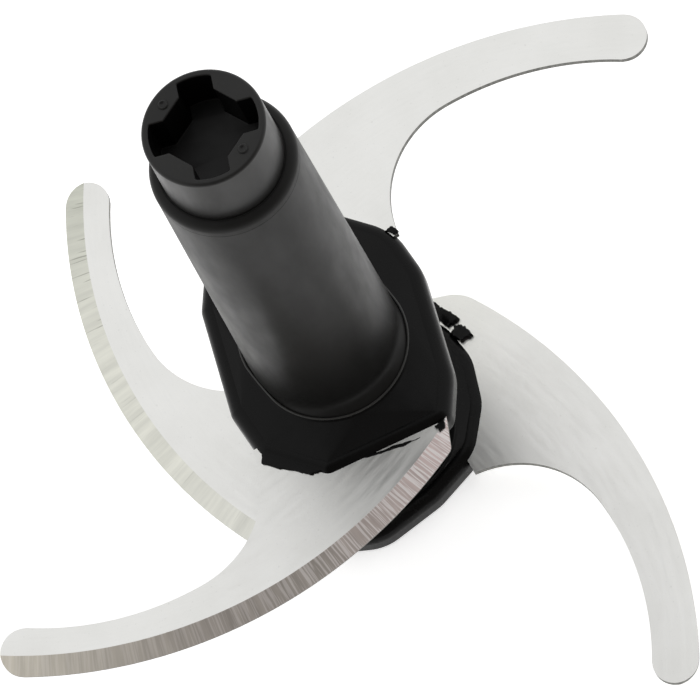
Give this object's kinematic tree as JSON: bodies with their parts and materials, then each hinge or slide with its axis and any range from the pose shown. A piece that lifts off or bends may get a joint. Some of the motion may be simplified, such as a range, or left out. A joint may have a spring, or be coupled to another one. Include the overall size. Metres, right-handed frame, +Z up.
{
  "type": "food processor knife insert",
  "caption": "Tall knife insert with a lobed drive socket on top, a round stem and two crossed pairs of sickle blades in black hub blocks.",
  "frame": {"origin": "on the drive axis, at the flat base of the lower hub block", "axes": "+Z up along the drive axis towards the socket; +X square to the line of sight of the usual view, with the upper right blade reaching towards +X; -Y towards the viewer"},
  "size_m": [0.1618, 0.1532, 0.1493],
  "materials": {
    "stem_plastic": "satin moulded plastic, dark grey",
    "ring_black": "dark glossy ring with fine moulding marks",
    "hub_plastic": "satin to gloss black moulded plastic",
    "bush_plastic": "plain natural bearing plastic",
    "blade_steel": "satin rolled stainless steel with a ground bevel"
  },
  "bodies": {
    "root": {"drive_socket": "stem_plastic", "shoulder_ring": "ring_black", "stem_sleeve": "stem_plastic", "core_tube": "hub_plastic", "upper_bush": "bush_plastic", "lower_bush": "bush_plastic", "hub_spacer": "hub_plastic", "upper_hub": "hub_plastic", "lower_hub": "hub_plastic", "upper_blade_right": "blade_steel", "upper_blade_left": "blade_steel", "lower_blade_back": "blade_steel", "lower_blade_front": "blade_steel"}
  },
  "joints": []
}
